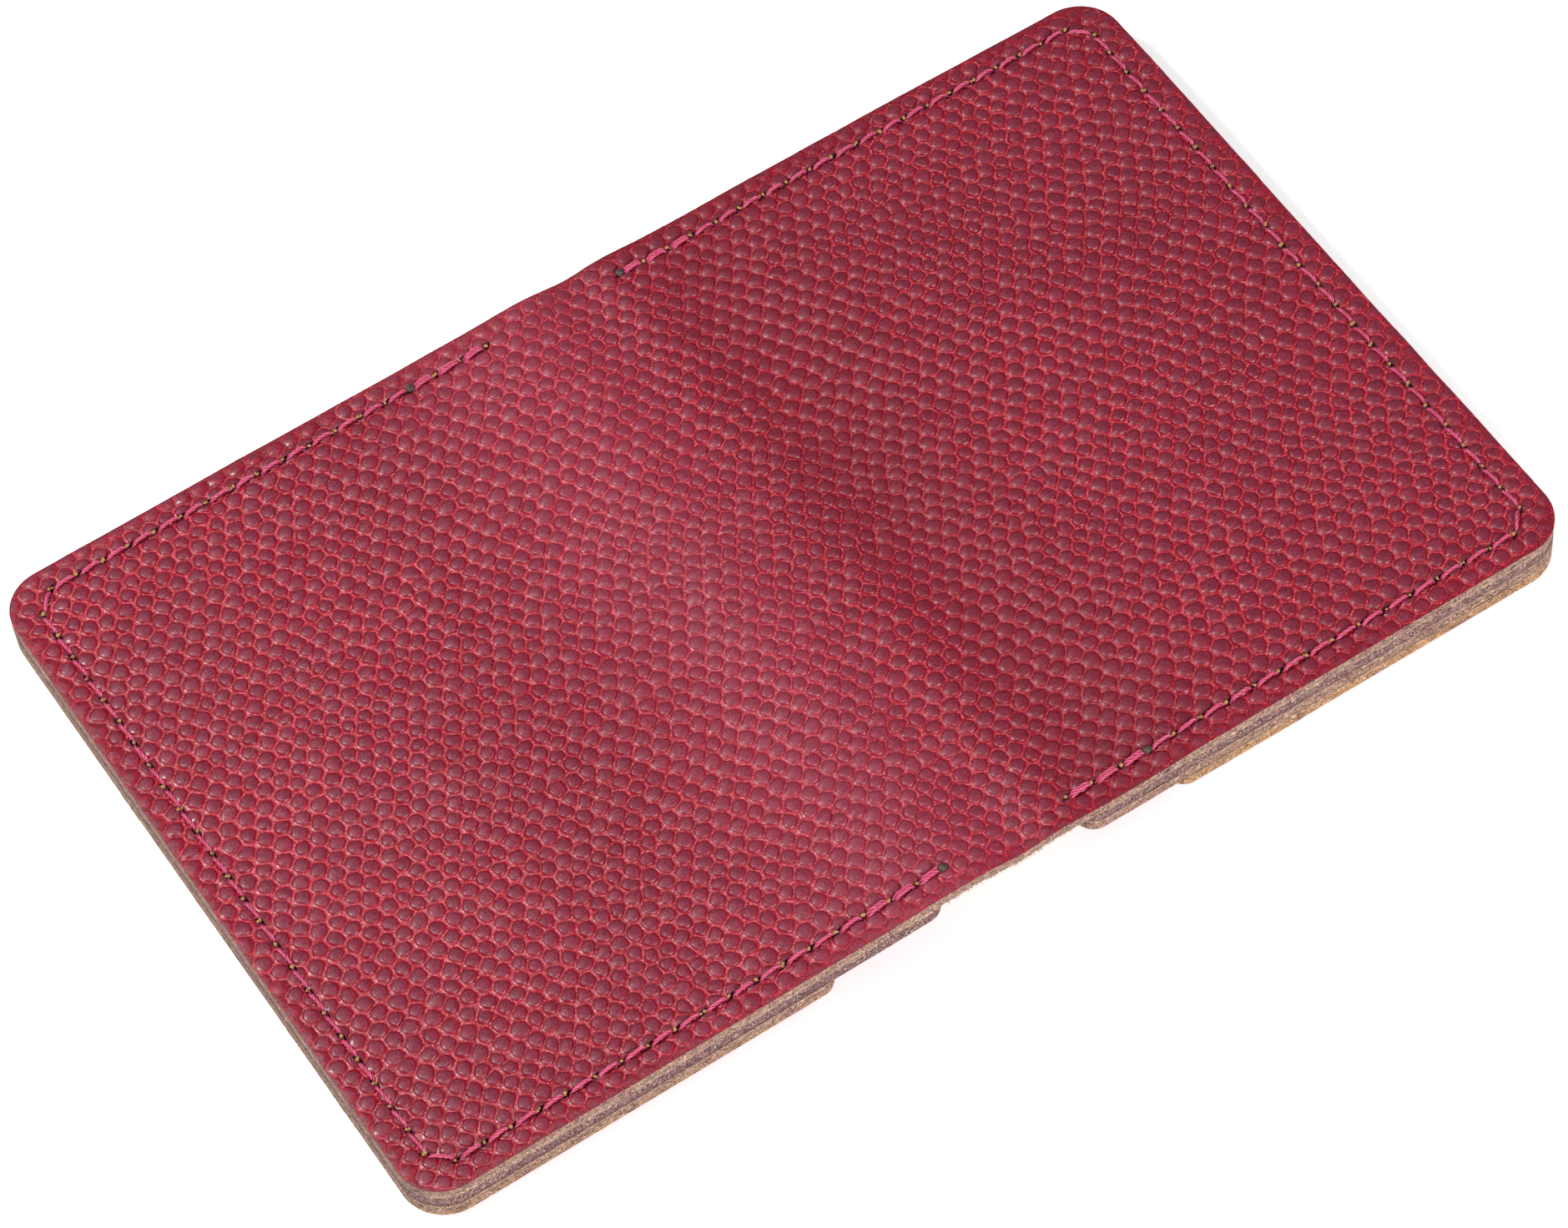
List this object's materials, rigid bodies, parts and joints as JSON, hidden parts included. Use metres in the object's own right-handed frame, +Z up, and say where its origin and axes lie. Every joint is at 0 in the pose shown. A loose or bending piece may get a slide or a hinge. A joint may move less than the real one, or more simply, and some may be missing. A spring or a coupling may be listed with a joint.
{
  "type": "business card case",
  "caption": "Hand-sewn bifold leather card case, lying open with its pebbled outside up and card pockets under both halves.",
  "frame": {"origin": "on the surface that the open case lies on, under the middle of its bounding box", "axes": "+X across the open case from the left half to the right half, +Y along the fold, +Z up out of the cover's outside face"},
  "size_m": [0.1664, 0.1046, 0.0079],
  "materials": {
    "cover_leather": "pebble embossed, plum tops and brighter red grooves, raw tan edges",
    "pocket_leather": "same pebbled leather, grain side out, raw tan edges",
    "waxed_thread": "twisted waxed thread, raspberry pink"
  },
  "bodies": {
    "left_half": {"cover_left": "cover_leather", "left_inner_pocket": "pocket_leather", "left_front_pocket": "pocket_leather", "stitching_left": "waxed_thread"},
    "spine": {"cover_spine": "cover_leather"},
    "right_half": {"cover_right": "cover_leather", "right_lining": "pocket_leather", "right_inner_pocket": "pocket_leather", "right_front_pocket": "pocket_leather", "stitching_right": "waxed_thread"}
  },
  "joints": [
    {"name": "left_fold", "type": "hinge", "parent": "left_half", "child": "spine", "pos_m": [-0.00605, 0, 0.0065], "axis": [0, 1, 0], "range_deg": [0, 89.03]},
    {"name": "right_fold", "type": "hinge", "parent": "spine", "child": "right_half", "pos_m": [0.00605, 0, 0.0065], "axis": [0, 1, 0], "range_deg": [0, 90]}
  ],
  "couplings": [
    {"joint": "right_fold", "follows": "left_fold", "ratio": 1.0108}
  ]
}
